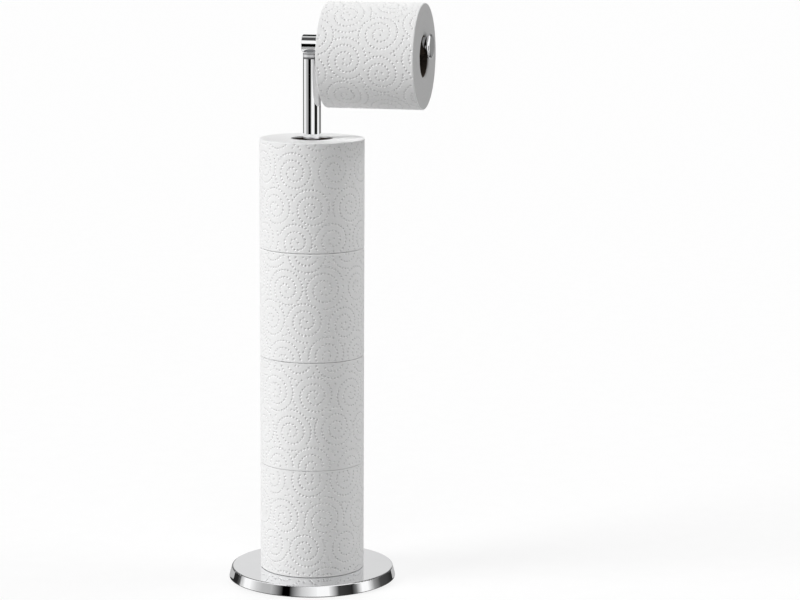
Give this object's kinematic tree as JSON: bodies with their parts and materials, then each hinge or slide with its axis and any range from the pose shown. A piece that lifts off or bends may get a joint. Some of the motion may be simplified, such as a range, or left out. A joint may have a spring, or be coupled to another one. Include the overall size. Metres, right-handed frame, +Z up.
{
  "type": "toilet roll storage holder",
  "caption": "Free-standing chrome toilet roll holder: weighted round base, upright that stores spare rolls, and a hinged arm that holds the roll in use and folds up.",
  "frame": {"origin": "centre of the base on the floor", "axes": "+Z up along the upright, +X along the level arm"},
  "size_m": [0.207, 0.17, 0.5872],
  "materials": {
    "chrome_plate": "mirror-bright chrome plating on steel",
    "satin_chrome": "satin chrome plating, turned and milled",
    "zinc_steel": "zinc-plated steel",
    "cast_iron": "raw casting, primed",
    "foam_pad": "closed-cell non-slip pad",
    "nylon": "natural nylon washers",
    "tissue": "soft white embossed tissue, wound",
    "core_card": "spiral-wound grey-brown card"
  },
  "bodies": {
    "stand": {"base_cover": "chrome_plate", "base_weight": "cast_iron", "base_pad": "foam_pad", "base_bolt": "zinc_steel", "base_washer": "zinc_steel", "pole_foot_plug": "zinc_steel", "pole_tube": "chrome_plate", "hinge_head": "satin_chrome", "hinge_washers": "nylon"},
    "arm": {"arm_hinge_block": "chrome_plate", "hinge_pin": "zinc_steel", "arm_tube": "chrome_plate", "arm_end_disc": "chrome_plate"},
    "arm_roll": {"arm_roll_paper": "tissue", "arm_roll_core": "core_card"},
    "spare_roll_1": {"spare_roll_1_paper": "tissue", "spare_roll_1_core": "core_card"},
    "spare_roll_2": {"spare_roll_2_paper": "tissue", "spare_roll_2_core": "core_card"},
    "spare_roll_3": {"spare_roll_3_paper": "tissue", "spare_roll_3_core": "core_card"},
    "spare_roll_4": {"spare_roll_4_paper": "tissue", "spare_roll_4_core": "core_card"}
  },
  "joints": [
    {"name": "arm_fold", "type": "hinge", "parent": "stand", "child": "arm", "pos_m": [0, 0, 0.54465], "axis": [0, -1, 0], "range_deg": [0, 90]},
    {"name": "arm_roll_spin", "type": "hinge", "parent": "arm", "child": "arm_roll", "pos_m": [0.06575, 0, 0.53445], "axis": [1, 0, 0], "continuous": true},
    {"name": "spare_roll_1_spin", "type": "hinge", "parent": "stand", "child": "spare_roll_1", "pos_m": [0, 0, 0.06655], "axis": [0, 0, 1], "continuous": true},
    {"name": "spare_roll_2_spin", "type": "hinge", "parent": "stand", "child": "spare_roll_2", "pos_m": [0, 0, 0.17635], "axis": [0, 0, 1], "continuous": true},
    {"name": "spare_roll_3_spin", "type": "hinge", "parent": "stand", "child": "spare_roll_3", "pos_m": [0, 0, 0.28615], "axis": [0, 0, 1], "continuous": true},
    {"name": "spare_roll_4_spin", "type": "hinge", "parent": "stand", "child": "spare_roll_4", "pos_m": [0, 0, 0.39595], "axis": [0, 0, 1], "continuous": true}
  ]
}
